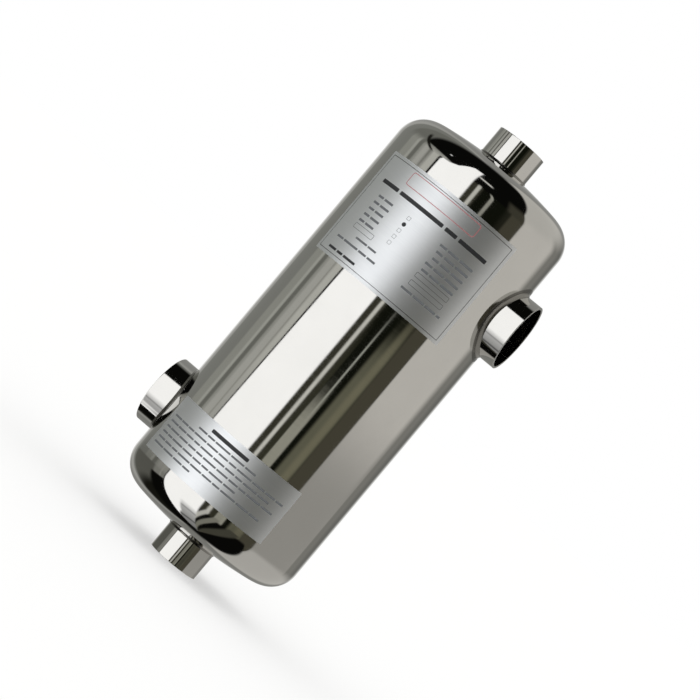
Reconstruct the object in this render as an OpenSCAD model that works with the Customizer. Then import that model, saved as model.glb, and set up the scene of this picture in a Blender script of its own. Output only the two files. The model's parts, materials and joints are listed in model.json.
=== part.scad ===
// Pool heat exchanger: a welded shell-and-tube vessel in polished stainless steel.
// The vessel axis is Z and the origin is the centre of the lower end stub's end face.
// +X is the side of the upper water stub, and -Y is the front, which carries the two foil plates.
// All sizes are in millimetres.

/* [Barrel] */
// Outside diameter of the barrel and of both heads
shell_od = 128; // [114:1:160]
// Thickness of the barrel and head plate
shell_t = 1.5; // [1:0.1:3]
// Height of the straight side, from the lower tangent line to the upper one
straight_len = 252; // [200:1:400]

/* [Heads] */
// Outside radius of the dished crown
crown_r = 260; // [180:1:400]
// Outside radius of the knuckle that turns the crown into the straight side
knuckle_r = 19; // [10:0.5:28]
// Straight skirt of a head beyond its tangent line
skirt_len = 2; // [1:0.5:3]
// Width of the seam weld between a head and the barrel, ground flush
seam_w = 2; // [1:0.5:3]

/* [Tube bundle] */
// Thickness of a tube sheet
sheet_t = 4; // [2:0.5:8]
// Distance of a tube sheet's outer face inside the tangent line
sheet_inset = 1; // [0.5:0.5:3]
// Outside diameter of a tube
tube_od = 12; // [8:0.5:13]
// Wall of a tube
tube_t = 0.8; // [0.5:0.1:1.5]
// Width of the solid rim of a tube sheet outside the outermost tubes
bundle_rim = 8.4; // [3:0.1:12]
// Length of each tube end that stands out of its tube sheet
tube_out = 2; // [1:0.5:6]

/* [End stubs] */
// Outside diameter of the heating water stubs in the heads
end_stub_od = 34.4; // [24:0.1:50]
// Wall of an end stub
end_stub_t = 1.6; // [1:0.1:3]
// Length of an end stub outside the crown
end_stub_out = 19; // [10:0.5:60]
// Length of an end stub inside the crown
end_stub_in = 2.5; // [1:0.5:8]
// Leg of the weld bead at the foot of an end stub
end_weld_leg = 1.6; // [1:0.1:4]

/* [Side stubs] */
// Outside diameter of the pool water stubs in the barrel
side_stub_od = 47.6; // [34:0.1:60]
// Wall of a side stub
side_stub_t = 1.6; // [1:0.1:3]
// Length of a side stub outside the barrel's crown line
side_stub_out = 12; // [8:0.5:60]
// Length of the square inner end past the barrel's inside where the two meet last
side_stub_in = 0.5; // [0.2:0.1:3]
// Clear height from the upper tangent line down to the upper stub
upper_stub_clear = 28.2; // [7:0.1:60]
// Clear height from the lower tangent line up to the lower stub
lower_stub_clear = 10.8; // [7:0.1:60]
// Leg of a saddle weld along the barrel
saddle_leg = 2.4; // [1.5:0.1:6]
// Height of a saddle weld along the stub
saddle_rise = 1.5; // [1:0.1:4]

/* [Foil plates] */
// Thickness of the foil
foil_t = 0.2; // [0.1:0.05:0.5]
// Length of the rating plate round the barrel
rating_w = 110; // [60:1:150]
// Height of the rating plate
rating_h = 75.5; // [40:0.5:100]
// Distance of the rating plate's top edge below the upper tangent line
rating_drop = 12.7; // [6:0.1:60]
// Length of the lower strip round the barrel
strip_w = 108; // [60:1:150]
// Height of the lower strip
strip_h = 39.5; // [20:0.5:60]
// Distance of the lower strip's bottom edge above the lower tangent line
strip_rise = 4.4; // [4.2:0.1:60]
// Turn of the lower strip round the barrel, towards the lower stub
strip_turn = 4; // [0:0.5:15]

/* [Fits] */
// Root gap between a welded piece and the piece that it is welded to
weld_gap = 0.1; // [0.05:0.05:0.3]
// Radial clearance of a tube in its tube sheet hole
tube_fit = 0.1; // [0.05:0.05:0.3]
// Glue line under a foil plate
glue_gap = 0.05; // [0.02:0.01:0.2]

/* [Hidden] */

$fn = 96;
// Extra length that lets a cut run clear of the face that it opens
cut = 1;

// Barrel and heads
shell_r = shell_od / 2;
shell_in_r = shell_r - shell_t;
knuckle_ring_r = shell_r - knuckle_r;
// Angle from the axis, at the crown's centre, where the crown meets the knuckle
knuckle_start = asin(knuckle_ring_r / (crown_r - knuckle_r));
head_depth = crown_r - (crown_r - knuckle_r) * cos(knuckle_start);
// Steps along the arcs of a head's profile
crown_steps = 10;
knuckle_steps = 14;

// Heights along the axis
lower_tangent_z = end_stub_out + head_depth;
upper_tangent_z = lower_tangent_z + straight_len;
head_end = skirt_len + seam_w;
lower_stub_z = lower_tangent_z + lower_stub_clear + side_stub_od / 2;
upper_stub_z = upper_tangent_z - upper_stub_clear - side_stub_od / 2;

// Tube bundle: a hexagon of tubes with this many rings round the middle one
tube_rings = 3;
sheet_r = shell_in_r - weld_gap;
tube_pitch = (sheet_r - bundle_rim - tube_od / 2) / tube_rings;
row_pitch = tube_pitch * sin(60);

// Stubs
end_stub_r = end_stub_od / 2;
side_stub_r = side_stub_od / 2;
side_stub_end = shell_r + side_stub_out;
side_stub_start = sqrt(shell_in_r * shell_in_r - side_stub_r * side_stub_r) - side_stub_in;

// Saddle weld: stations round the stub, steps across the bead, and the thickness of its toe
saddle_stations = 72;
saddle_steps = 6;
saddle_toe = 0.1;
// Width left at the top of an end stub's bead
bead_cap = 0.2;

function tubes_in_row(row) = 2 * tube_rings + 1 - abs(row - tube_rings - 1);
// Points along an arc of a profile, between two angles from the profile's upright
function arc_points(centre, radius, from_angle, to_angle, steps, first = 0) =
    [for (i = [first : steps]) let (a = from_angle + (to_angle - from_angle) * i / steps)
        centre + radius * [sin(a), cos(a)]];
// Height of the crown over the tangent line, at a distance from the axis
function crown_height(r) = sqrt(crown_r * crown_r - r * r) - crown_r + head_depth;
// A point of the saddle weld: its distance from the stub's axis and from the vessel axis, and the
// angle round the stub from the upper side
function saddle_point(from_stub, from_axis, angle) =
    let (side = from_stub * sin(angle))
    [sqrt(from_axis * from_axis - side * side), side, from_stub * cos(angle)];

// Hollow cylinder that stands on the XY plane
module pipe(radius, wall, length) {
    difference() {
        cylinder(r = radius, h = length);
        translate([0, 0, -cut]) cylinder(r = radius - wall, h = length + 2 * cut);
    }
}

// Dished head that opens downwards, with its tangent line on the XY plane
module head() {
    crown_centre = [0, head_depth - crown_r];
    knuckle_centre = [knuckle_ring_r, 0];
    outside = concat(
        arc_points(crown_centre, crown_r, 0, knuckle_start, crown_steps),
        arc_points(knuckle_centre, knuckle_r, knuckle_start, 90, knuckle_steps, 1)
    );
    inside = concat(
        arc_points(knuckle_centre, knuckle_r - shell_t, 90, knuckle_start, knuckle_steps),
        arc_points(crown_centre, crown_r - shell_t, knuckle_start, 0, crown_steps, 1)
    );
    color("silver") difference() {
        rotate_extrude() polygon(concat(outside, [[shell_r, -skirt_len], [shell_in_r, -skirt_len]], inside));
        cylinder(r = end_stub_r + weld_gap, h = head_depth + cut);
    }
}

// Flush weld ring whose lower face lies on the XY plane
module seam_weld() {
    color("gainsboro") pipe(shell_r, shell_t, seam_w);
}

// Drilled plate that holds the tube ends, with its lower face on the XY plane
module tube_sheet() {
    color("darkgray") difference() {
        cylinder(r = sheet_r, h = sheet_t);
        for (row = [1 : 2 * tube_rings + 1]) place_row(row)
            translate([0, 0, -cut]) cylinder(r = tube_od / 2 + tube_fit, h = sheet_t + 2 * cut);
    }
}

// Puts a copy of its child at every tube of one row of the hexagon
module place_row(row) {
    count = tubes_in_row(row);
    for (i = [0 : count - 1])
        translate([(row - tube_rings - 1) * row_pitch, (i - (count - 1) / 2) * tube_pitch, 0]) children();
}

// One row of straight tubes, through both tube sheets
module tube_row(row) {
    first_z = lower_tangent_z + sheet_inset - tube_out;
    last_z = upper_tangent_z - sheet_inset + tube_out;
    color("lightsteelblue") translate([0, 0, first_z]) place_row(row)
        pipe(tube_od / 2, tube_t, last_z - first_z);
}

// End stub of an upward head whose tangent line lies on the XY plane
module end_stub() {
    inner_z = head_depth - shell_t - end_stub_in;
    color("silver") translate([0, 0, inner_z])
        pipe(end_stub_r, end_stub_t, head_depth + end_stub_out - inner_z);
}

// Hollow-faced weld bead round the foot of an end stub
module end_stub_weld() {
    foot_r = end_stub_r + weld_gap;
    toe_r = foot_r + bead_cap + end_weld_leg;
    toe_z = crown_height(toe_r);
    color("gainsboro") rotate_extrude() difference() {
        translate([foot_r, toe_z - cut]) square([bead_cap + end_weld_leg, cut + end_weld_leg]);
        translate([toe_r, toe_z + end_weld_leg]) circle(r = end_weld_leg);
        translate([0, head_depth - crown_r]) circle(r = crown_r + weld_gap, $fn = 360);
    }
}

// Rolled barrel with a hole for each side stub
module shell_barrel() {
    color("silver") difference() {
        translate([0, 0, lower_tangent_z + head_end])
            pipe(shell_r, shell_t, straight_len - 2 * head_end);
        at_upper_stub() stub_hole();
        at_lower_stub() stub_hole();
    }
}

// Places of the two side stubs: each child points along +X at the height of its stub
module at_upper_stub() {
    translate([0, 0, upper_stub_z]) children();
}

module at_lower_stub() {
    translate([0, 0, lower_stub_z]) rotate([0, 0, 180]) children();
}

// Hole that lets a side stub through one wall of the barrel
module stub_hole() {
    rotate([0, 90, 0]) cylinder(r = side_stub_r + weld_gap, h = shell_r + cut);
}

// Side stub along +X: a plain pipe, cut square at both ends and set through the barrel
module side_stub() {
    color("silver") translate([side_stub_start, 0, 0]) rotate([0, 90, 0])
        pipe(side_stub_r, side_stub_t, side_stub_end - side_stub_start);
}

// Hollow-faced weld along the saddle where a side stub leaves the barrel
module saddle_weld() {
    inner = side_stub_r + weld_gap;
    base = shell_r + weld_gap;
    // Section of the bead as pairs: distance from the stub's axis, distance from the vessel axis
    face = [for (i = [0 : saddle_steps]) let (u = i / saddle_steps)
        [inner + saddle_leg * u, base + saddle_toe + (saddle_rise - saddle_toe) * pow(1 - u, 2)]];
    section = concat([[inner, base]], face, [[inner + saddle_leg, base], [inner + saddle_leg / 2, base]]);
    count = len(section);
    points = [for (s = [0 : saddle_stations - 1], p = section)
        saddle_point(p[0], p[1], 360 * s / saddle_stations)];
    faces = [for (s = [0 : saddle_stations - 1], i = [0 : count - 1])
        let (here = s * count, next = ((s + 1) % saddle_stations) * count, j = (i + 1) % count)
        each [[here + i, here + j, next + i], [here + j, next + j, next + i]]];
    color("gainsboro") polyhedron(points, faces, convexity = 6);
}

// Foil plate wrapped on the front of the barrel, centred at an angle from -Y towards -X
module foil_plate(width, height, bottom_z, turn) {
    foil_r = shell_r + glue_gap;
    span = width / foil_r * 180 / PI;
    color("whitesmoke") rotate([0, 0, -90 - turn - span / 2]) rotate_extrude(angle = span, $fn = 360)
        translate([foil_r, bottom_z]) square([foil_t, height]);
}

// Carries an upward piece of the upper head to its place
module on_top() {
    translate([0, 0, upper_tangent_z]) children();
}

// Carries an upward piece to its mirrored place on the lower head
module on_bottom() {
    translate([0, 0, lower_tangent_z]) mirror([0, 0, 1]) children();
}

shell_barrel();
on_top() head();  // upper_head
on_bottom() head();  // lower_head
on_top() translate([0, 0, -head_end]) seam_weld();  // upper_seam_weld
on_bottom() translate([0, 0, -head_end]) seam_weld();  // lower_seam_weld
on_top() translate([0, 0, -sheet_inset - sheet_t]) tube_sheet();  // upper_tube_sheet
on_bottom() translate([0, 0, -sheet_inset - sheet_t]) tube_sheet();  // lower_tube_sheet
for (row = [1 : 2 * tube_rings + 1])
    tube_row(row);
on_top() end_stub();  // top_stub
on_bottom() end_stub();  // bottom_stub
on_top() end_stub_weld();  // top_stub_weld
on_bottom() end_stub_weld();  // bottom_stub_weld
at_upper_stub() side_stub();  // upper_side_stub
at_lower_stub() side_stub();  // lower_side_stub
at_upper_stub() saddle_weld();  // upper_saddle_weld
at_lower_stub() saddle_weld();  // lower_saddle_weld
foil_plate(rating_w, rating_h, upper_tangent_z - rating_drop - rating_h, 0);  // rating_plate
foil_plate(strip_w, strip_h, lower_tangent_z + strip_rise, strip_turn);  // lower_strip
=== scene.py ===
"""Looks of a polished pool heat exchanger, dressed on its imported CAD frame.

The vessel stands on its bottom stub with its axis along Z. All lengths are in metres, in the frame's
own coordinates, and are read from the frame wherever a CAD node or a mount gives them.
"""

import json
import logging
import math
from collections.abc import Iterator
from contextlib import contextmanager
from dataclasses import dataclass, field, replace
from enum import Enum
from functools import cache
from typing import Any, NamedTuple, Protocol

import bpy
import numpy as np
from mathutils import Matrix, Vector

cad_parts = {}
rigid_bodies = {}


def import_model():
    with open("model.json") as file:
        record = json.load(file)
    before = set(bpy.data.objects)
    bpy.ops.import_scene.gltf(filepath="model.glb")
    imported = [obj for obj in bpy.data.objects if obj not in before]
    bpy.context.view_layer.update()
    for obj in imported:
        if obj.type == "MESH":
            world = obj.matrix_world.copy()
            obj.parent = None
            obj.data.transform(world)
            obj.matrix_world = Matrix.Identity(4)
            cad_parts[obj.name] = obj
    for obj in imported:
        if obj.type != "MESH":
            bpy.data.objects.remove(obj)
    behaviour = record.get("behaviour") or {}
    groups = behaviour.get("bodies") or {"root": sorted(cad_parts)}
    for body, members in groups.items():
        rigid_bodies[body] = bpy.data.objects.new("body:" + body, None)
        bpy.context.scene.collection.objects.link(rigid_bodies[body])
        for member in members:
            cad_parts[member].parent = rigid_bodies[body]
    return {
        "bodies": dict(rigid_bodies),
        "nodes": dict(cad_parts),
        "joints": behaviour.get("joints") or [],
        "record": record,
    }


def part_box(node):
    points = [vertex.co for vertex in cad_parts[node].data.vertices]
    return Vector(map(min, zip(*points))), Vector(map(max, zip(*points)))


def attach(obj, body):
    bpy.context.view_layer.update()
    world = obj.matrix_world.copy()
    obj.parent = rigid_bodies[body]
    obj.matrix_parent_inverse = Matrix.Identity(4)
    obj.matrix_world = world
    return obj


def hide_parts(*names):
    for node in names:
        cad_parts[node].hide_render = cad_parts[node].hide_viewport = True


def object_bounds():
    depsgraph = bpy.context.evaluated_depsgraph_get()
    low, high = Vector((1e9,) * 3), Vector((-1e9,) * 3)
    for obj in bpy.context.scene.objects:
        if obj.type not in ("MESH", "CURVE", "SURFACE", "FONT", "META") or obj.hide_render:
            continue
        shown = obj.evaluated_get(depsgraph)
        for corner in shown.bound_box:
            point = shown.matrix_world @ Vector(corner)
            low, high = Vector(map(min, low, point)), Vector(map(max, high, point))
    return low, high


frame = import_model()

logging.basicConfig(level=logging.INFO, format="%(message)s")
LOG = logging.getLogger("heat_exchanger")

MM = 0.001
CAD_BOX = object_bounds()
BODY = "root"
PORTS = ("pool_water_upper", "pool_water_lower")

# The picture is square, and this many pixels wide
PICTURE_SIDE = 700
# Facets round the vessel and round its stubs
VESSEL_FACETS = 256
STUB_FACETS = 160
TUBE_FACETS = 40
# Steps of the rounding of a pipe's rim
RIM_STEPS = 4
# Gap that keeps a piece just off the one that it lies on
SEAT_GAP = 0.02 * MM

Point = tuple[float, float]
Solid = bpy.types.Object
Material = bpy.types.Material
Socket = bpy.types.NodeSocket
Array = np.ndarray


class Axis(Enum):
    """The axes that pieces lie along, as unit vectors."""

    X = (1.0, 0.0, 0.0)
    Z = (0.0, 0.0, 1.0)


class Side(Enum):
    """Which end of the vessel a piece belongs to: its sign along Z."""

    LOWER = -1
    UPPER = 1


@cache
def linear(hex_colour: str) -> tuple[float, float, float, float]:
    """Turns an sRGB hex colour to linear light.

    Args:
        hex_colour: Six hex digits after a hash sign.

    Returns:
        Red, green, blue and alpha, in linear light.
    """
    parts = [int(hex_colour[i:i + 2], 16) / 255 for i in (1, 3, 5)]
    red, green, blue = (p / 12.92 if p <= 0.04045 else ((p + 0.055) / 1.055) ** 2.4 for p in parts)
    return red, green, blue, 1.0


def add_node(
    tree: bpy.types.NodeTree,
    kind: str,
    settings: dict[str, Any] | None = None,
    inputs: dict[str | int, Any] | None = None,
) -> bpy.types.Node:
    """Adds one shader node, with its settings and its inputs.

    Args:
        tree: The node tree to add to.
        kind: The node's type name.
        settings: Attributes of the node.
        inputs: Input sockets by name or number: another node's output is linked, anything else is set.

    Returns:
        The new node.
    """
    node = tree.nodes.new(kind)
    for name, value in (settings or {}).items():
        setattr(node, name, value)
    for name, value in (inputs or {}).items():
        if isinstance(value, Socket):
            tree.links.new(value, node.inputs[name])
        else:
            node.inputs[name].default_value = value
    return node


def bore_radius(name: str) -> float:
    """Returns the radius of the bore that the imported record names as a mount."""
    return next(m for m in frame["record"]["mounts"] if m["name"] == name)["dims"]["r_mm"] * MM


def clear_selection() -> None:
    """Leaves nothing selected, so that an operator acts on the new piece alone."""
    bpy.ops.object.select_all(action="DESELECT")


def pick(*pieces: Solid) -> None:
    """Selects the given pieces alone, and makes the first one active."""
    clear_selection()
    for piece in pieces:
        piece.select_set(True)
    bpy.context.view_layer.objects.active = pieces[0]


@contextmanager
def editing(piece: Solid) -> Iterator[None]:
    """Opens a piece's mesh with all of it selected, and closes it again."""
    pick(piece)
    bpy.ops.object.mode_set(mode="EDIT")
    bpy.ops.mesh.select_all(action="SELECT")
    yield
    bpy.ops.object.mode_set(mode="OBJECT")


def smooth(piece: Solid, angle: float = 30.0) -> Solid:
    """Shades a piece smooth across edges flatter than the angle, in degrees, and returns it."""
    pick(piece)
    bpy.ops.object.shade_smooth_by_angle(angle=math.radians(angle))
    return piece


def settle(piece: Solid) -> Solid:
    """Puts a piece's place, turn and scale in its mesh, and returns it."""
    pick(piece)
    bpy.ops.object.transform_apply(location=True, rotation=True, scale=True)
    return piece


def join(name: str, pieces: list[Solid]) -> Solid:
    """Joins pieces to the first one, gives it its name and returns it."""
    pick(*pieces)
    if len(pieces) > 1:
        bpy.ops.object.join()
    pieces[0].name = pieces[0].data.name = name
    return pieces[0]


def arc(centre: Point, radius: float, start: float, end: float, steps: int) -> list[Point]:
    """Works out points along an arc of an outline.

    Args:
        centre: Distance from the axis and height of the arc's centre.
        radius: Radius of the arc.
        start: First angle from the upright, in degrees.
        end: Last angle from the upright, in degrees.
        steps: Number of equal steps.

    Returns:
        The points, both ends among them.
    """
    angles = [math.radians(start + (end - start) * i / steps) for i in range(steps + 1)]
    return [(centre[0] + radius * math.sin(a), centre[1] + radius * math.cos(a)) for a in angles]


def pipe_outline(bore: float, radius: float, low: float, high: float, rim: float) -> list[Point]:
    """Returns a pipe's section, from its two radii, its two ends and the rounding of its rims."""
    outer, inner = radius - rim, bore + rim
    # A ring close to each rim keeps the long walls' shading straight
    first, last = low + 2 * rim, high - 2 * rim
    points = arc((outer, low + rim), rim, 180.0, 90.0, RIM_STEPS) + [(radius, first), (radius, last)]
    points += arc((outer, high - rim), rim, 90.0, 0.0, RIM_STEPS)
    points += arc((inner, high - rim), rim, 0.0, -90.0, RIM_STEPS) + [(bore, last), (bore, first)]
    points += arc((inner, low + rim), rim, -90.0, -180.0, RIM_STEPS)
    return points


def lathe(name: str, outline: list[Point], facets: int) -> Solid:
    """Turns a closed outline round Z, the way a turner would.

    Args:
        name: Name of the piece.
        outline: Distances from the axis and heights, once round the section.
        facets: Number of steps of the full turn.

    Returns:
        The closed piece, shaded smooth.
    """
    clear_selection()
    bpy.ops.mesh.primitive_plane_add(size=MM)
    piece = bpy.context.object
    piece.name = piece.data.name = name
    with editing(piece):
        bpy.ops.mesh.merge(type="CENTER")
        bpy.ops.transform.translate(value=(outline[0][0], 0.0, outline[0][1]))
        for here, there in zip(outline, outline[1:] + outline[:1]):
            step = (there[0] - here[0], 0.0, there[1] - here[1])
            bpy.ops.mesh.extrude_vertices_move(TRANSFORM_OT_translate={"value": step})
        bpy.ops.mesh.select_all(action="SELECT")
        bpy.ops.mesh.remove_doubles(threshold=MM / 1000)
        bpy.ops.mesh.spin(steps=facets, angle=math.tau, center=(0.0, 0.0, 0.0), axis=Axis.Z.value)
        bpy.ops.mesh.select_all(action="SELECT")
        bpy.ops.mesh.remove_doubles(threshold=MM / 1000)
        bpy.ops.mesh.normals_make_consistent(inside=False)
    return smooth(piece)


def copy_to(piece: Solid, place: tuple[float, float, float]) -> Solid:
    """Copies a piece, with a mesh of its own, to a place next to it and returns the copy."""
    pick(piece)
    bpy.ops.object.duplicate(linked=False)
    bpy.ops.transform.translate(value=place)
    return bpy.context.object


def fit(piece: Solid, finish: Material | None, node: str) -> None:
    """Dresses a finished piece and sets it in the frame.

    Args:
        piece: The piece, with its place in its mesh.
        finish: Its material, or None where its faces are dressed already.
        node: The CAD node that it stands for.
    """
    if finish:
        piece.data.materials.clear()
        piece.data.materials.append(finish)
    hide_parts(node)
    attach(piece, BODY)
    LOG.info("%s: %d faces, %s", piece.name, len(piece.data.polygons), piece.data.materials[0].name)


class Blank(NamedTuple):
    """A new material: its nodes, its shader and the object coordinates that its patterns read."""

    material: Material
    tree: bpy.types.NodeTree
    shader: bpy.types.Node
    place: Socket

    @classmethod
    def named(cls, name: str) -> "Blank":
        """Starts a material."""
        material = bpy.data.materials.new(name)
        material.use_nodes = True
        tree = material.node_tree
        place = add_node(tree, "ShaderNodeTexCoord").outputs["Object"]
        return cls(material, tree, tree.nodes["Principled BSDF"], place)

    def noise(self, place: Socket, scale: float, detail: float, roughness: float = 0.5) -> Socket:
        """Adds a noise pattern and returns its value."""
        return add_node(self.tree, "ShaderNodeTexNoise", inputs={
            "Vector": place, "Scale": scale, "Detail": detail, "Roughness": roughness}).outputs["Fac"]

    def blend(self, share: Socket, first: Any, second: Any) -> Socket:
        """Adds a mix of two colours and returns it."""
        return add_node(self.tree, "ShaderNodeMix", {"data_type": "RGBA"}, {
            0: share, 6: first, 7: second}).outputs[2]

    def finish(self, colour: Socket, rough: Socket, relief: Socket) -> Material:
        """Links the patterns to the shader and returns the material."""
        for name, value in (("Base Color", colour), ("Roughness", rough), ("Normal", relief)):
            self.tree.links.new(value, self.shader.inputs[name])
        return self.material


@dataclass(frozen=True)
class DullRingWithPaintedReflection:
    """A ring round a side stub's weld where a flap wheel dulled the barrel again; its darker colour is a
    painted reflection of the stub in the barrel.
    """

    sign: float
    height: float
    radius: float
    # Darker than the mirror: painted reflection of the stub in the barrel
    colour: str = "#7E7C78"
    roughness: float = 0.3
    # Width over which the duller finish and the painted reflection fade out
    edge: float = 0.5 * MM

    def share(self, tree: bpy.types.NodeTree, place: Socket) -> Socket:
        """Adds the nodes that find the ring, and returns a value that is one in it and else nought."""
        flat = add_node(tree, "ShaderNodeVectorMath", {"operation": "MULTIPLY"}, {
            0: place, 1: (0.0, 1.0, 1.0)})
        reach = add_node(tree, "ShaderNodeVectorMath", {"operation": "DISTANCE"}, {
            0: flat.outputs[0], 1: (0.0, 0.0, self.height)})
        near = add_node(tree, "ShaderNodeMapRange", inputs={
            "Value": reach.outputs["Value"], "From Min": self.radius - self.edge, "From Max": self.radius,
            "To Min": 1.0, "To Max": 0.0})
        turned = add_node(tree, "ShaderNodeVectorMath", {"operation": "DOT_PRODUCT"}, {
            0: place, 1: (self.sign, 0.0, 0.0)})
        facing = add_node(tree, "ShaderNodeMath", {"operation": "GREATER_THAN"}, {
            0: turned.outputs["Value"], 1: 0.0})
        both = add_node(tree, "ShaderNodeMath", {"operation": "MULTIPLY"}, {
            0: near.outputs[0], 1: facing.outputs[0]})
        return both.outputs[0]


@dataclass(frozen=True)
class Steel:
    """Stainless steel that has been ground, drawn or polished in one direction.

    The lay is the set of fine lines that the last tool left. They run round the lay axis, or along it
    where the piece was drawn through a die.
    """

    name: str
    colour: str
    worn_colour: str
    roughness: float
    worn_roughness: float
    line_pitch: float
    line_height: float
    wave_height: float = 0.0
    lay: Axis = Axis.Z
    drawn: bool = False

    # Sizes of the cloudy patches that a buffing wheel leaves, and of the sheet's slow waves
    PATCH = 18 * MM
    WAVE = 55 * MM
    # How much longer a line is than it is wide
    LINE_RATIO = 60.0
    # Range of the lines' noise times the patches' noise
    SPREAD = (0.12, 0.4)

    def material(self, rings: tuple[DullRingWithPaintedReflection, ...] = ()) -> Material:
        """Makes the material.

        Args:
            rings: Rings where the finish is duller and painted darker as a reflection of the side stubs.

        Returns:
            The material, with colour, roughness and relief from its lines and patches.
        """
        blank = Blank.named(self.name)
        tree, place = blank.tree, blank.place
        blank.shader.inputs["Metallic"].default_value = 1.0
        across, along = 1 / self.line_pitch, 1 / (self.line_pitch * self.LINE_RATIO)
        if self.drawn:
            across, along = along, across
        scale = tuple(across if part else along for part in self.lay.value)
        stretched = add_node(tree, "ShaderNodeMapping", inputs={"Vector": place, "Scale": scale})
        lines = blank.noise(stretched.outputs[0], 1.0, 3.0, 0.6)
        patches = blank.noise(place, 1 / self.PATCH, 4.0, 0.55)
        colour = blank.blend(patches, linear(self.colour), linear(self.worn_colour))
        mixed = add_node(tree, "ShaderNodeMath", {"operation": "MULTIPLY"}, {0: patches, 1: lines})
        rough = add_node(tree, "ShaderNodeMapRange", inputs={
            "Value": mixed.outputs[0], "From Min": self.SPREAD[0], "From Max": self.SPREAD[1],
            "To Min": self.roughness, "To Max": self.worn_roughness}).outputs[0]
        relief = add_node(tree, "ShaderNodeBump", inputs={
            "Strength": 1.0, "Distance": self.line_height, "Height": lines}).outputs[0]
        if self.wave_height:
            waves = blank.noise(place, 1 / self.WAVE, 1.0, 0.4)
            relief = add_node(tree, "ShaderNodeBump", inputs={
                "Strength": 1.0, "Distance": self.wave_height, "Height": waves,
                "Normal": relief}).outputs[0]
        # Each ring paints a darker colour, a painted reflection of the stub, and sets a duller roughness
        for ring in rings:
            share = ring.share(tree, place)
            colour = blank.blend(share, colour, linear(ring.colour))
            rough = add_node(tree, "ShaderNodeMix", inputs={
                0: share, 2: rough, 3: ring.roughness}).outputs[0]
        return blank.finish(colour, rough, relief)


@dataclass(frozen=True)
class Foil:
    """Satin aluminium foil: rolled bright, then matt lacquered, so that it glows instead of mirroring."""

    name: str = "satin_aluminium_foil"
    colour: str = "#ECEEF0"
    worn_colour: str = "#E2E5E8"
    roughness: float = 0.43
    # The lacquer scatters a little of the light
    metallic: float = 0.93
    # Width of the rolling lines, drawn coarser than the real ones so that they show
    grain: float = 0.35 * MM
    grain_height: float = 0.002 * MM
    # Width of a line over its length, and how far a line changes the roughness
    grain_ratio: float = 0.03
    unevenness: float = 0.05

    def material(self) -> Material:
        """Makes the material, with fine rolling lines round the barrel, and returns it."""
        blank = Blank.named(self.name)
        blank.shader.inputs["Metallic"].default_value = self.metallic
        along = self.grain_ratio / self.grain
        rolled = add_node(blank.tree, "ShaderNodeMapping", inputs={
            "Vector": blank.place, "Scale": (along, along, 1 / self.grain)})
        lines = blank.noise(rolled.outputs[0], 1.0, 2.0)
        tone = blank.blend(lines, linear(self.colour), linear(self.worn_colour))
        gloss = add_node(blank.tree, "ShaderNodeMapRange", inputs={
            "Value": lines, "To Min": self.roughness - self.unevenness,
            "To Max": self.roughness + self.unevenness})
        relief = add_node(blank.tree, "ShaderNodeBump", inputs={
            "Strength": 1.0, "Distance": self.grain_height, "Height": lines})
        return blank.finish(tone, gloss.outputs[0], relief.outputs[0])


@dataclass(frozen=True)
class Ink:
    """Screen-printed ink: a thin matt film whose cover is a little uneven."""

    name: str
    colour: str
    thin_colour: str
    roughness: float = 0.55
    # Spacing of the printing screen's mesh, drawn coarser than the real one so that it shows
    screen: float = 0.5 * MM

    def material(self) -> Material:
        """Makes the material, with the screen's faint mottle in its colour, and returns it."""
        blank = Blank.named(self.name)
        blank.shader.inputs["Roughness"].default_value = self.roughness
        mottle = blank.noise(blank.place, 1 / self.screen, 2.0)
        tone = blank.blend(mottle, linear(self.colour), linear(self.thin_colour))
        blank.tree.links.new(tone, blank.shader.inputs["Base Color"])
        return blank.material


# Sheet and pipe buffed to a mirror: it shows the room, and only fine lines and cloudy patches give it away
MIRROR = Steel(
    "mirror_polished_stainless_steel", "#CDCCC9", "#C7C6C3", 0.035, 0.085,
    line_pitch=0.9 * MM, line_height=0.0006 * MM, wave_height=0.05 * MM)
# The same finish on the barrel, duller round each side stub and painted darker there as a reflection of
# the stub
MIRROR_BARREL = replace(MIRROR, name="mirror_polished_stainless_barrel")
# The same finish on the side stubs, whose lines run round their own axis
MIRROR_SIDE = replace(
    MIRROR, name="mirror_polished_stainless_pipe", wave_height=0.02 * MM, lay=Axis.X)
# A weld that was ground and brushed but not buffed: darker, and it blurs what it shows
BRUSHED_WELD = Steel(
    "brushed_stainless_weld", "#94928D", "#7F7D79", 0.2, 0.3,
    line_pitch=0.5 * MM, line_height=0.0008 * MM)
# Plate faced in straight passes, inside the heads
FACED_PLATE = Steel(
    "faced_stainless_plate", "#B4B1AB", "#A19E98", 0.24, 0.38,
    line_pitch=0.6 * MM, line_height=0.003 * MM, lay=Axis.X)
# Thin tube as it left the die
DRAWN_TUBE = Steel(
    "drawn_stainless_tube", "#B9B6B0", "#A8A59E", 0.18, 0.3,
    line_pitch=0.5 * MM, line_height=0.002 * MM, drawn=True)
# Foil of the two plates, and the inks that were screened on it
FOIL = Foil()
BLACK_INK = Ink("black_screen_ink", "#1B1C1F", "#2A2B2F")
GREY_INK = Ink("grey_screen_ink", "#55585C", "#66696D")
RED_INK = Ink("red_screen_ink", "#A8555A", "#B4686C")


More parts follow.
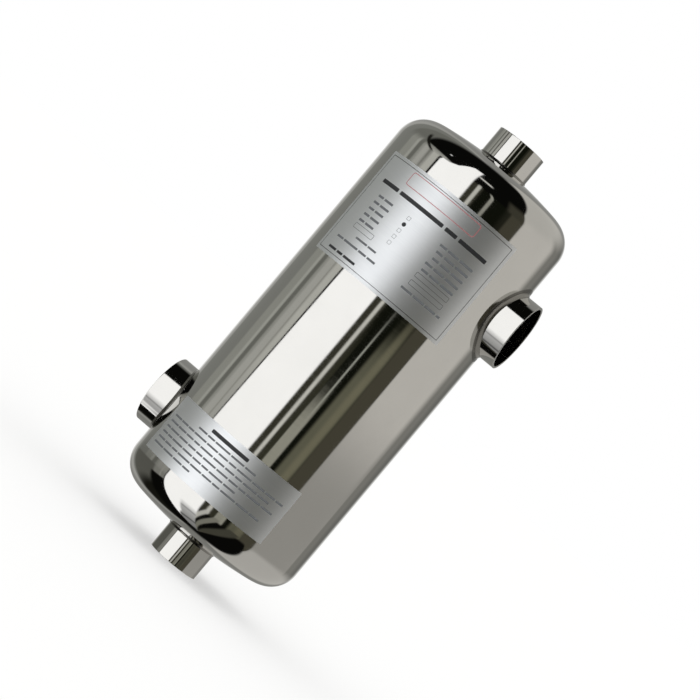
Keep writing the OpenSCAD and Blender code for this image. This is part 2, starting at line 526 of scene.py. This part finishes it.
@dataclass
class Vessel:
    """The barrel, its two dished heads and the flush seams between them."""

    radius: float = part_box("upper_head")[1].x
    wall: float = 1.5 * MM
    crown_radius: float = 260 * MM
    knuckle_radius: float = 19 * MM
    # Straight skirt of a head
    skirt: float = 2 * MM
    # Radius of a hole for a stub, over the stub's own
    hole_gap: float = 0.1 * MM
    # Height of the rings that a barrel wall is divided in
    ring: float = 2.4 * MM
    # Steps along the parts of a head's section
    crown_steps: int = 28
    knuckle_steps: int = 44
    skirt_steps: int = 4

    def barrel(self) -> Solid:
        """Builds the barrel, with a hole for each side stub, and returns it."""
        low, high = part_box("shell_barrel")[0].z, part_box("shell_barrel")[1].z
        count = round((high - low) / self.ring)
        heights = [low + (high - low) * i / count for i in range(count + 1)]
        outline = [(self.radius, z) for z in heights]
        outline += [(self.radius - self.wall, z) for z in reversed(heights)]
        barrel = lathe("shell_barrel_polished", outline, VESSEL_FACETS)
        for port in PORTS:
            self.cut_port(barrel, SideStub.from_mount(port))
        return smooth(barrel)

    def cut_port(self, barrel: Solid, stub: "SideStub") -> None:
        """Cuts a side stub's hole through one wall of the barrel."""
        clear_selection()
        bpy.ops.mesh.primitive_cylinder_add(
            vertices=STUB_FACETS, radius=stub.radius + self.hole_gap, depth=self.radius,
            location=(stub.sign * self.radius, 0.0, stub.height), rotation=(0.0, math.pi / 2, 0.0))
        drill = bpy.context.object
        pick(barrel)
        hole = barrel.modifiers.new("port", "BOOLEAN")
        hole.operation, hole.object, hole.solver = "DIFFERENCE", drill, "EXACT"
        bpy.ops.object.modifier_apply(modifier=hole.name)
        bpy.data.objects.remove(drill)

    def head(self, side: Side) -> Solid:
        """Builds the dished head at one end, with a hole for its stub, and returns it."""
        node = f"{side.name.lower()}_head"
        low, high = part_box(node)
        end = low.z if side is Side.UPPER else high.z
        ring = self.radius - self.knuckle_radius
        reach = self.crown_radius - self.knuckle_radius
        start = math.degrees(math.asin(ring / reach))
        depth = self.crown_radius - reach * math.cos(math.radians(start))
        hole = EndStub.at(side).radius + self.hole_gap
        crown = (0.0, depth - self.crown_radius)
        knuckle = (ring, 0.0)
        inner_crown, inner_knuckle = self.crown_radius - self.wall, self.knuckle_radius - self.wall
        first = math.degrees(math.asin(hole / self.crown_radius))
        first_inside = math.degrees(math.asin(hole / inner_crown))
        outline = arc(crown, self.crown_radius, first, start, self.crown_steps)
        outline += arc(knuckle, self.knuckle_radius, start, 90.0, self.knuckle_steps)[1:]
        step = self.skirt / self.skirt_steps
        outline += [(self.radius, -step * i) for i in range(1, self.skirt_steps + 1)]
        outline += [(self.radius - self.wall, -self.skirt)]
        outline += arc(knuckle, inner_knuckle, 90.0, start, self.knuckle_steps)
        outline += arc(crown, inner_crown, start, first_inside, self.crown_steps)[1:]
        tangent = end + side.value * self.skirt
        outline = [(r, tangent + side.value * z) for r, z in outline]
        return lathe(f"{node}_polished", outline, VESSEL_FACETS)

    def seam(self, side: Side) -> Solid:
        """Builds the seam at one end, ground and buffed flush, and returns it."""
        node = f"{side.name.lower()}_seam_weld"
        low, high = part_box(node)[0].z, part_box(node)[1].z
        inner = self.radius - self.wall
        outline = [(self.radius, low), (self.radius, high), (inner, high), (inner, low)]
        return lathe(f"{node}_polished", outline, VESSEL_FACETS)

    def build(self, polish: Material) -> None:
        """Builds and dresses the whole vessel."""
        # Rings round the side stubs, duller and painted darker as the stubs' reflection in the barrel
        rings = tuple(SideStub.from_mount(port).dull_ring_with_painted_reflection() for port in PORTS)
        fit(self.barrel(), MIRROR_BARREL.material(rings), "shell_barrel")
        for side in Side:
            name = side.name.lower()
            fit(self.head(side), polish, f"{name}_head")
            fit(self.seam(side), polish, f"{name}_seam_weld")


@dataclass
class EndStub:
    """A heating water stub in the middle of a head, with the bead at its foot."""

    side: Side
    name: str
    radius: float
    bore: float
    low: float
    high: float
    # Rounding of the deburred rim
    rim: float = 0.2 * MM
    # Thickness of the bead's upper end, and the rows of its hollow face
    tip: float = 0.2 * MM
    rows: int = 10

    @classmethod
    def at(cls, side: Side) -> "EndStub":
        """Reads one end's stub from the frame."""
        name = "top" if side is Side.UPPER else "bottom"
        low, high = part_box(f"{name}_stub")
        bore = bore_radius(f"heating_water_{name}")
        return cls(side, name, high.x, bore, low.z, high.z)

    def pipe(self) -> Solid:
        """Builds the stub, with both rims deburred, and returns it."""
        outline = pipe_outline(self.bore, self.radius, self.low, self.high, self.rim)
        return lathe(f"{self.name}_stub_polished", outline, STUB_FACETS)

    def bead(self) -> Solid:
        """Builds the hollow-faced weld bead at the stub's foot, and returns it."""
        low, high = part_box(f"{self.name}_stub_weld")
        foot, toe = self.radius + SEAT_GAP, high.x
        base, cap = (low.z, high.z) if self.side is Side.UPPER else (high.z, low.z)
        leg = abs(cap - base)
        outline = [(foot, base)]
        for i in range(self.rows + 1):
            u = i / self.rows
            outline.append((foot + self.tip + (toe - foot - self.tip) * u,
                            base + self.side.value * leg * (1 - u) ** 2))
        return lathe(f"{self.name}_stub_bead", outline, STUB_FACETS)

    def build(self, polish: Material, weld: Material) -> None:
        """Builds and dresses the stub and its bead."""
        fit(self.pipe(), polish, f"{self.name}_stub")
        fit(self.bead(), weld, f"{self.name}_stub_weld")


@dataclass
class SideStub:
    """A pool water stub in the barrel's side, with the saddle weld round its foot."""

    name: str
    sign: float
    radius: float
    bore: float
    height: float
    start: float
    end: float
    rim: float = 0.2 * MM
    # Section of the saddle weld: its leg along the barrel and its rise along the stub
    leg: float = 2.4 * MM
    rise: float = 1.5 * MM
    # Width of the barrel's dull ring outside the weld, painted darker as a reflection of the stub
    dressed: float = 2.6 * MM
    # Thickness of the weld's outer edge, and the rows of its hollow face
    toe: float = 0.1 * MM
    rows: int = 14

    @classmethod
    def from_mount(cls, port: str) -> "SideStub":
        """Reads the stub of one port from the frame."""
        name = port.removeprefix("pool_water_")
        low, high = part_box(f"{name}_side_stub")
        sign = math.copysign(1.0, low.x + high.x)
        start, end = sorted((abs(low.x), abs(high.x)))
        middle = (low.z + high.z) / 2
        return cls(name, sign, (high.z - low.z) / 2, bore_radius(port), middle, start, end)

    def place(self, piece: Solid) -> Solid:
        """Turns a piece that was made along Z to the stub's own place, and returns it."""
        piece.rotation_euler = (0.0, math.copysign(math.pi / 2, self.sign), 0.0)
        piece.location = (0.0, 0.0, self.height)
        return settle(piece)

    def pipe(self) -> Solid:
        """Builds the stub, with both rims deburred, and returns it."""
        outline = pipe_outline(self.bore, self.radius, self.start, self.end, self.rim)
        return self.place(lathe(f"{self.name}_side_stub_polished", outline, STUB_FACETS))

    def dull_ring_with_painted_reflection(self) -> DullRingWithPaintedReflection:
        """Returns the dull ring round the weld, with its painted reflection of the stub."""
        return DullRingWithPaintedReflection(self.sign, self.height, self.radius + self.leg + self.dressed)

    def saddle(self) -> Solid:
        """Builds the saddle weld, a flat ring that is then laid on the barrel, and returns it."""
        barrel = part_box("upper_head")[1].x
        inner = self.radius + SEAT_GAP
        section = [(inner, 0.0)]
        for i in range(self.rows + 1):
            u = i / self.rows
            section.append((inner + self.leg * u, self.toe + (self.rise - self.toe) * (1 - u) ** 2))
        section.append((inner + self.leg, 0.0))
        weld = lathe(f"{self.name}_saddle_weld_brushed", section, STUB_FACETS)
        for vertex in weld.data.vertices:
            x, y, z = vertex.co
            reach = barrel + SEAT_GAP + z
            vertex.co = (x, y, math.sqrt(reach * reach - y * y))
        return smooth(self.place(weld))

    def build(self, polish: Material, weld: Material) -> None:
        """Builds and dresses the stub and its weld."""
        fit(self.pipe(), polish, f"{self.name}_side_stub")
        fit(self.saddle(), weld, f"{self.name}_saddle_weld")


@dataclass
class TubeBundle:
    """The straight tubes and the two drilled sheets that hold their ends."""

    # The rows are numbered along X, and the middle one is the longest
    rows: int = 7
    wall: float = 0.8 * MM
    rim: float = 0.15 * MM

    def row(self, number: int) -> Solid:
        """Builds one row as one piece, from one tube that is copied along it, and returns it."""
        low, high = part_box(f"tube_row_{number}")
        radius = (high.x - low.x) / 2
        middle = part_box(f"tube_row_{(self.rows + 1) // 2}")
        pitch = (middle[1].y - radius) / (self.rows // 2)
        count = round((high.y - low.y - 2 * radius) / pitch) + 1
        outline = pipe_outline(radius - self.wall, radius, low.z, high.z, self.rim)
        tube = lathe(f"tube_row_{number}_drawn", outline, TUBE_FACETS)
        tube.location = ((low.x + high.x) / 2, low.y + radius, 0.0)
        copies = [copy_to(tube, (0.0, pitch * i, 0.0)) for i in range(1, count)]
        return settle(join(f"tube_row_{number}_drawn", [tube] + copies))

    def build(self, tube: Material, plate: Material) -> None:
        """Builds and dresses the bundle."""
        for number in range(1, self.rows + 1):
            fit(self.row(number), tube, f"tube_row_{number}")
        for side in Side:
            sheet = frame["nodes"][f"{side.name.lower()}_tube_sheet"]
            sheet.data.materials[0] = plate
            LOG.info("%s: CAD solid, %s", sheet.name, plate.name)


class Layer(Enum):
    """What shows on a plate: the bare foil, or one of the inks on it."""

    FOIL = FOIL
    BLACK = BLACK_INK
    GREY = GREY_INK
    RED = RED_INK


@dataclass
class FoilPlate:
    """A foil plate glued round the front of the barrel, with plain printing.

    The plate is laid out flat in millimetres, with its width along X and its height along Z from its
    lower edge, and is then laid round the barrel. Its turn is in degrees.
    """

    node: str
    width: float
    turn: float
    layers: dict[Layer, Material]
    # The film of ink lies this far over the foil, and both stay within the plate's own thickness
    ink_height: float = 0.025 * MM
    # Width of the strips that let the flat plate follow the barrel, and the rounding of its corners
    strip: float = 1.5
    corner: float = 0.6
    printing: list[Solid] = field(default_factory=list)

    # Gap between two bars and rounding of a bar's corners, as shares of its height
    BAR_GAP = 0.75
    BAR_ROUND = 0.2
    # A dot's corners stop just short of meeting
    DOT_ROUND = 0.999

    @property
    def height(self) -> float:
        """Height of the plate."""
        low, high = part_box(self.node)
        return (high.z - low.z) / MM

    def patch(self, ink: Layer, middle: Point, size: Point, corner: float = 0.0) -> Solid:
        """Prints one solid patch.

        Args:
            ink: The ink.
            middle: The patch's middle, on the flat plate.
            size: Its width and height.
            corner: Radius of its corners.

        Returns:
            The patch, still flat.
        """
        clear_selection()
        bpy.ops.mesh.primitive_plane_add(
            size=MM, location=(middle[0] * MM, 0.0, middle[1] * MM), rotation=(math.pi / 2, 0.0, 0.0))
        patch = bpy.context.object
        patch.scale = (size[0], size[1], 1.0)
        settle(patch)
        if corner:
            with editing(patch):
                bpy.ops.mesh.bevel(offset=corner * MM, segments=6, affect="VERTICES")
        patch.data.materials.append(self.layers[ink])
        if ink is not Layer.FOIL:
            self.printing.append(patch)
        return patch

    def frame(self, ink: Layer, middle: Point, size: Point, line: float, corner: float = 0.0) -> None:
        """Prints one outlined box: a patch of which only a line along its edge is left."""
        with editing(self.patch(ink, middle, size, corner)):
            bpy.ops.mesh.inset(thickness=line * MM, depth=0.0)
            bpy.ops.mesh.delete(type="FACE")

    def dot(self, ink: Layer, middle: Point, radius: float) -> None:
        """Prints one round dot."""
        self.patch(ink, middle, (2 * radius, 2 * radius), radius * self.DOT_ROUND)

    def bars(self, ink: Layer, ends: Point, height: float, size: float, shares: list[int]) -> None:
        """Prints a row of plain bars.

        Args:
            ink: The ink.
            ends: Left and right end of the row.
            height: Height of the row's middle on the plate.
            size: Height of the bars.
            shares: Relative lengths of the bars, in order.
        """
        gap = size * self.BAR_GAP
        room = ends[1] - ends[0] - gap * (len(shares) - 1)
        left = ends[0]
        for share in shares:
            length = room * share / sum(shares)
            self.patch(ink, (left + length / 2, height), (length, size), size * self.BAR_ROUND)
            left += length + gap

    def lay_round(self, piece: Solid, reach: float) -> None:
        """Lays a flat piece round the barrel, front and centre but for the plate's turn.

        Args:
            piece: The flat piece.
            reach: Radius at which its face comes to lie, in metres.
        """
        count = math.ceil(self.width / self.strip)
        with editing(piece):
            for i in range(1, count):
                bpy.ops.mesh.select_all(action="SELECT")
                cut = self.width * (i / count - 0.5) * MM
                bpy.ops.mesh.bisect(plane_co=(cut, 0.0, 0.0), plane_no=Axis.X.value)
        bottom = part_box(self.node)[0].z
        outside = -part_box("rating_plate")[0].y
        for vertex in piece.data.vertices:
            angle = vertex.co.x / outside - math.radians(self.turn)
            vertex.co = (reach * math.sin(angle), -reach * math.cos(angle), bottom + vertex.co.z)

    def build(self) -> None:
        """Lays the plate and its printing round the barrel, and dresses them."""
        outside = -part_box("rating_plate")[0].y - 2 * self.ink_height
        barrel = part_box("upper_head")[1].x
        sheet = self.patch(Layer.FOIL, (0.0, self.height / 2), (self.width, self.height), self.corner)
        self.lay_round(sheet, outside)
        body = sheet.modifiers.new("thickness", "SOLIDIFY")
        body.thickness, body.offset = outside - barrel - SEAT_GAP, -1.0
        bpy.ops.object.modifier_apply(modifier=body.name)
        printing = join(f"{self.node}_printing", self.printing)
        self.lay_round(printing, outside + self.ink_height)
        plate = join(f"{self.node}_foil", [smooth(sheet), smooth(printing)])
        fit(plate, None, self.node)


def rating_plate(layers: dict[Layer, Material]) -> FoilPlate:
    """Lays out the rating plate: a bordered form with a blank heading frame and blank rows.

    Args:
        layers: Materials of the foil and the inks.

    Returns:
        The plate, printed but still flat.
    """
    plate = FoilPlate("rating_plate", 110, 0.0, layers)
    top = plate.height
    plate.frame(Layer.BLACK, (0, top / 2), (105, top - 4.4), 0.35)
    plate.frame(Layer.RED, (0, top - 8.2), (55, 9.2), 0.45, 1.6)
    plate.bars(Layer.BLACK, (-44, 44), top - 18.8, 2.6, [11, 24, 6, 15])
    # Five rows with a box each, of which the second one holds the dot
    for i in range(5):
        level = top - (28 + 4.6 * i)
        plate.bars(Layer.GREY, (-38, -24 + 0.6 * (i % 2)), level, 1.5, [2, 3])
        plate.bars(Layer.GREY, (15 + 0.8 * (i % 3), 41), level, 1.5, [2, 3, 4])
        if i == 1:
            plate.dot(Layer.BLACK, (-9.9, level), 1.4)
        else:
            plate.frame(Layer.GREY, (-9.9, level), (2.4, 2.4), 0.2)
    for middle, drop, size in ((-29, 50.7, (18, 3.6)), (28, 50.7, (26, 3.4)), (28, 56.5, (26, 3.4))):
        plate.frame(Layer.GREY, (middle, top - drop), size, 0.3, 0.7)
    plate.bars(Layer.GREY, (-30, -12), top - 56.5, 1.3, [3, 2])
    plate.bars(Layer.GREY, (-44, -8), top - 62, 1.4, [2, 4, 2, 2])
    plate.bars(Layer.GREY, (13, 44), top - 62, 1.4, [3, 3, 3, 1])
    plate.bars(Layer.BLACK, (-44, -18), top - 70, 1.6, [3, 2, 4])
    return plate


def lower_strip(layers: dict[Layer, Material]) -> FoilPlate:
    """Lays out the lower strip, one bold bar over blank rows, and returns it, still flat."""
    strip = FoilPlate("lower_strip", 108, 4.0, layers)
    first, pitch = strip.height - 5.2, 4.0
    strip.bars(Layer.BLACK, (-15, 15), first, 2.4, [1])
    # The first row is centred and the others start at the left
    for i, length in enumerate((48, 98, 90, 96, 70, 92, 40), 1):
        left = -length / 2 if i == 1 else -49
        # Bars of about 9 mm, whose lengths change from one to the next
        shares = [3 + (5 * i + 3 * j) % 4 for j in range(max(2, round(length / 9)))]
        strip.bars(Layer.GREY, (left, left + length), first - pitch * i, 1.2, shares)
    return strip


def soft_step(value: Array, low: float | Array, high: float | Array) -> Array:
    """Returns a soft step that is 0 up to the low end and 1 from the high end on."""
    share = np.clip((value - low) / (high - low), 0.0, 1.0)
    return share * share * (3 - 2 * share)


def between(value: Array, low: float, high: float, soft: float) -> Array:
    """Returns 1 between two ends and 0 outside them, with soft steps at the ends."""
    return soft_step(value, low - soft, low + soft) * (1 - soft_step(value, high - soft, high + soft))


def line_at(value: Array, points: tuple[Point, ...]) -> Array:
    """Returns the height of a line of straight stretches, given by its corners."""
    return np.interp(value, *zip(*points))


class Lit(Protocol):
    """Anything of the studio that the polished metal shows.

    Bearings are in degrees from the camera's direction and grow to the camera's right. Lifts are in
    degrees over the level of the vessel's middle.
    """

    def cover(self, bearing: Array, lift: Array) -> Array:
        """Returns the share of the view that the piece fills in each direction."""

    def light(self, bearing: Array, lift: Array) -> Array:
        """Returns the piece's light in each direction, in linear red, green and blue."""


class Plain:
    """Anything that is the same colour all over."""

    colour: str

    def light(self, bearing: Array, lift: Array) -> Array:
        """Returns the light in each direction, which is always the same."""
        return np.full((bearing.size, 3), linear(self.colour)[:3])


@dataclass(frozen=True)
class Panel(Plain):
    """One plain panel with soft edges, which may lean sideways beyond what the barrel shows."""

    left: float
    right: float
    colour: str
    edge: float = 1.0
    low: float = -95.0
    high: float = 95.0
    level_edge: float = 1.0
    lean: float = 0.0

    # The barrel itself shows lifts up to this, over and under the level
    BARREL_END = 7.0

    def cover(self, bearing: Array, lift: Array) -> Array:
        """Returns the share of the view that the panel fills in each direction."""
        upright = bearing - self.lean * np.maximum(abs(lift) - self.BARREL_END, 0.0)
        across = between(upright, self.left, self.right, self.edge)
        return across * between(lift, self.low, self.high, self.level_edge)


@dataclass(frozen=True)
class Softbox:
    """The large lit panel at the camera's left, with slanted edges, and the table below it."""

    strength: float = 1.49
    right: float = -15.5
    # Softness of its left edge, of its other edges and of the table's edge
    left_soft: float = 0.8
    soft: float = 1.5
    table_soft: float = 6.0
    # Left edge by lift, and upper edge by bearing
    left_edge: tuple[Point, ...] = ((-4.5, -71.2), (2.5, -67.2), (8, -63.5), (12, -66))
    upper_edge: tuple[Point, ...] = (
        (-70, 9), (-50, 11), (-40, 22), (-33.5, 43), (-29.5, 51.5), (-15, 56))
    # Black frame that shows at its left: its softness, and its width by lift
    frame_soft: float = 0.5
    frame: tuple[Point, ...] = ((-4.5, 1.5), (2.5, 2.7), (6, 3), (14, 7))
    # Table: its left edge by lift, and the share of the light that falls on it by lift
    table_edge: tuple[Point, ...] = ((-90, -110), (-75, -75), (-62, -50), (-40, -44))
    table: tuple[Point, ...] = (
        (-90, 0.16), (-87, 0.04), (-83, 0.2), (-73, 0.24), (-70, 0.06), (-65, 0.3),
        (-48, 0.42), (-44, 0.26), (-41, 0.55), (-28, 1))

    def cover(self, bearing: Array, lift: Array) -> Array:
        """Returns the share of the view that the box fills in each direction."""
        left, top = line_at(lift, self.left_edge), line_at(bearing, self.upper_edge)
        shown = soft_step(bearing, left - self.left_soft, left + self.left_soft)
        shown *= 1 - soft_step(bearing, self.right - self.soft, self.right + self.soft)
        return shown * (1 - soft_step(lift, top - self.soft, top + self.soft))

    def light(self, bearing: Array, lift: Array) -> Array:
        """Returns the light of the box and of the table in each direction."""
        table = line_at(lift, self.table_edge)
        shade = soft_step(bearing, table, table + self.table_soft) * (1 - line_at(lift, self.table))
        frame = line_at(lift, self.left_edge) + line_at(lift, self.frame)
        lit = soft_step(bearing, frame - self.frame_soft, frame + self.frame_soft)
        return np.outer(self.strength * (1 - shade) * lit, (1.0, 1.0, 1.0))


@dataclass(frozen=True)
class Opening(Plain):
    """The dark room over and under the vessel, bounded by slopes from the upright."""

    colour: str = "#0D0D0B"
    # Slopes of its sides, then the lift that it starts at, then the softness of the sides
    left: float = -3.0
    back: float = -0.25
    right: float = 0.55
    level: float = 9.0
    level_edge: float = 9.0
    left_edge: float = 0.5
    edge: float = 0.12

    def cover(self, bearing: Array, lift: Array) -> Array:
        """Returns the share of the view that the opening fills in each direction."""
        # Where each direction meets a level plane, with the level and the upright ones held back
        height = np.maximum(np.tan(np.radians(np.minimum(abs(lift), 89.0))), 0.02)
        across = np.sin(np.radians(bearing)) / height
        ahead = np.cos(np.radians(bearing)) / height
        shade = soft_step(abs(lift), self.level, self.level + self.level_edge)
        shade *= soft_step(across, self.left, self.left + self.left_edge)
        shade *= soft_step(ahead, self.back - self.edge, self.back + self.edge)
        return shade * soft_step(self.right + ahead - across, 0.0, self.edge)


# Everything that stands round the vessel, from the back to the front
PLAN: tuple[Lit, ...] = (
    Panel(-190, 190, "#E8E8E6"),
    Panel(-190, 190, "#9C9C99", low=12, level_edge=4),
    Panel(-190, 190, "#90908C", high=-12, level_edge=4),
    # Wing at the left, with its folds
    Panel(-160, -55, "#B2B2AE", edge=6),
    Panel(-148, -55, "#8C8D88", edge=2.5),
    Panel(-118, -90, "#A2A39C", edge=2),
    Panel(-105, -100, "#B8B9B2", edge=1.5),
    Panel(-100, -93.5, "#797A74", edge=1.5),
    Panel(-90, -55, "#BEBEB8", edge=3),
    Panel(-130, -60, "#7C7D77", edge=3, low=16, level_edge=8),
    Panel(-142, -60, "#65655F", edge=3, high=-6.6, level_edge=0.8),
    Panel(-91, -60, "#8E8E88", edge=3, high=-6.6, level_edge=0.8),
    Panel(-76, -60, "#D0D0C9", edge=1.5, low=-2.5, high=8),
    Panel(-79.5, -77.5, "#A5A59E", edge=0.8),
    Panel(-150, -45, "#1C1C17", edge=8, high=-38, level_edge=8),
    # Wing at the right, which is dimmer below the middle
    Panel(131, 160, "#757571", edge=9),
    Panel(58.5, 128, "#DBD8D2", edge=1),
    Panel(122, 142, "#8C8B86", edge=8),
    Panel(58.5, 126, "#ABA9A4", edge=1, high=-2.4, level_edge=1.8),
    Panel(58.5, 160, "#D2D0CA", edge=6, low=22, level_edge=12),
    Panel(58.5, 160, "#CCCAC5", edge=6, high=-12, level_edge=7),
    # Gap between the softbox and the right wing, with what shows in it
    Panel(-15.5, 58.5, "#14160F", edge=0.8),
    Panel(41, 58.5, "#514E42", edge=2),
    Panel(22, 40, "#6E6D5C", edge=2.5, high=0.9, level_edge=0.6),
    Panel(31, 39, "#807D68", edge=3, high=1.8, level_edge=1.2),
    Panel(11.3, 13.3, "#B2B4AA", edge=0.5, high=1.2, level_edge=1),
    Panel(3.5, 15, "#AAA99C", edge=1, high=-1.9, level_edge=0.4),
    Panel(-2, 3, "#3B3B2F", edge=0.8, high=0.3),
    Panel(-15.5, -1, "#3E3D33", edge=1.5),
    Panel(-8, -4, "#E6E5DD", edge=1.2),
    Opening(),
    # Edges of the table, and what little shows in the opening over the vessel
    Panel(-9, -3, "#D6D5CE", edge=1.5, high=-7, lean=-0.26),
    Panel(4, 12, "#8C8B80", edge=1.5, high=-7, lean=-0.3),
    Panel(24, 40, "#4C4B41", edge=3, high=-7, lean=-0.34),
    Panel(34, 58.5, "#46443A", edge=4, low=9, high=36, level_edge=8),
    Panel(11, 15, "#B5B4AA", edge=0.8, low=4.5, high=15, level_edge=3, lean=-0.4),
    Panel(-8, -4, "#D6D5CD", edge=1.2, low=6, high=15, level_edge=4),
    Panel(-81, -74, "#1E1E19", edge=1.8, low=7, high=36, level_edge=4, lean=-1.1),
    Panel(-14, 6, "#E6E5DF", edge=3, low=36, high=41),
    Panel(-60, -57, "#FFFFFF", edge=0.8, low=31, high=34),
    Softbox(),
)


@dataclass
class Studio:
    """The camera, the floor and the round studio screen that the polish mirrors."""

    # The photograph's viewpoint: its angle from the front towards +X, and how far it leans
    azimuth: float = 12.7
    lean: float = 40.0
    distance: float = 1.75
    focal_pixels: float = 2827.0
    sensor: float = 36.0
    # How far the middle of the picture lies over the middle of the vessel
    over_middle: float = 2.5 * MM
    # Side of the floor, and the strength of the light that comes up through it
    floor_side: float = 60.0
    floor_glow: float = 0.5
    screen_radius: float = 3.0
    # Columns and rows of the screen's faces
    screen_facets: tuple[int, int] = (720, 240)

    @property
    def target(self) -> Vector:
        """The point that the camera looks at."""
        low, high = CAD_BOX
        return Vector((0.0, 0.0, (low[2] + high[2]) / 2 + self.over_middle))

    def camera(self) -> None:
        """Sets the camera at the photograph's viewpoint."""
        angle = math.radians(self.azimuth)
        toward = Vector((math.sin(angle), -math.cos(angle), 0.0))
        lens = bpy.data.cameras.new("camera")
        lens.sensor_width = self.sensor
        lens.lens = self.sensor * self.focal_pixels / PICTURE_SIDE
        camera = bpy.data.objects.new("camera", lens)
        camera.location = self.target + toward * self.distance
        facing = (-toward).to_track_quat("-Z", "Y").to_matrix().to_4x4()
        camera.rotation_euler = (facing @ Matrix.Rotation(math.radians(self.lean), 4, "Z")).to_euler()
        bpy.context.collection.objects.link(camera)
        bpy.context.scene.camera = camera

    def world(self) -> None:
        """Makes a white background, which also gives an even soft light from all round."""
        world = bpy.data.worlds.new("studio")
        bpy.context.scene.world = world
        world.use_nodes = True
        world.node_tree.nodes["Background"].inputs["Color"].default_value = linear("#FFFFFF")

    def floor(self) -> None:
        """Lays the pale floor, lit from below as well, so that it keeps only a soft shadow."""
        clear_selection()
        bpy.ops.mesh.primitive_plane_add(size=self.floor_side)
        floor = bpy.context.object
        floor.name = floor.data.name = "studio_floor"
        made = bpy.data.materials.new("pale_lit_floor")
        made.use_nodes = True
        sockets = made.node_tree.nodes["Principled BSDF"].inputs
        sockets["Base Color"].default_value = linear("#BCBCBB")
        sockets["Roughness"].default_value = 1.0
        sockets["Specular IOR Level"].default_value = 0.0
        sockets["Emission Color"].default_value = linear("#FFFFFF")
        sockets["Emission Strength"].default_value = self.floor_glow
        floor.data.materials.append(made)
        floor.visible_glossy = False

    def light_from(self, bearing: Array, lift: Array) -> Array:
        """Returns the light that reaches the vessel from each direction, in linear colours."""
        light = np.zeros((bearing.size, 3))
        for piece in PLAN:
            light += (piece.light(bearing, lift) - light) * piece.cover(bearing, lift)[:, None]
        return light

    def screen(self) -> None:
        """Sets up the round studio screen, which only the polished metal shows."""
        clear_selection()
        columns, rows = self.screen_facets
        bpy.ops.mesh.primitive_grid_add(x_subdivisions=columns, y_subdivisions=rows, size=2.0)
        screen = bpy.context.object
        screen.name = screen.data.name = "studio_screen"
        flat = np.array([vertex.co for vertex in screen.data.vertices])
        bearing, lift = 180.0 * flat[:, 0], 90.0 * flat[:, 1]
        turn, tilt = np.radians(bearing + self.azimuth), np.radians(lift)
        out = np.cos(tilt)
        ball = np.stack((out * np.sin(turn), -out * np.cos(turn), np.sin(tilt)), axis=1)
        screen.data.vertices.foreach_set("co", (self.screen_radius * ball + self.target).ravel())
        lights = screen.data.color_attributes.new("light", "FLOAT_COLOR", "POINT")
        lights.data.foreach_set("color", np.insert(self.light_from(bearing, lift), 3, 1.0, axis=1).ravel())
        made = bpy.data.materials.new("studio_screen")
        made.use_nodes = True
        tree = made.node_tree
        tree.nodes.remove(tree.nodes["Principled BSDF"])
        painted = add_node(tree, "ShaderNodeVertexColor", {"layer_name": "light"})
        glow = add_node(tree, "ShaderNodeEmission", inputs={"Color": painted.outputs["Color"]})
        tree.links.new(glow.outputs[0], tree.nodes["Material Output"].inputs["Surface"])
        screen.data.materials.append(made)
        screen.visible_camera = screen.visible_diffuse = screen.visible_shadow = False

    def build(self) -> None:
        """Sets up the whole studio."""
        self.camera()
        self.world()
        self.floor()
        self.screen()
        bpy.context.scene.view_settings.view_transform = "Standard"
        LOG.info("studio: camera, floor, screen and background")


def main() -> None:
    """Builds the heat exchanger's looks and its studio."""
    mirror, mirror_side = MIRROR.material(), MIRROR_SIDE.material()
    weld = BRUSHED_WELD.material()
    Vessel().build(mirror)
    for side in Side:
        EndStub.at(side).build(mirror, weld)
    for port in PORTS:
        SideStub.from_mount(port).build(mirror_side, weld)
    TubeBundle().build(DRAWN_TUBE.material(), FACED_PLATE.material())
    layers = {layer: layer.value.material() for layer in Layer}
    for plate in (rating_plate(layers), lower_strip(layers)):
        plate.build()
    Studio().build()


if __name__ == "__main__":
    main()
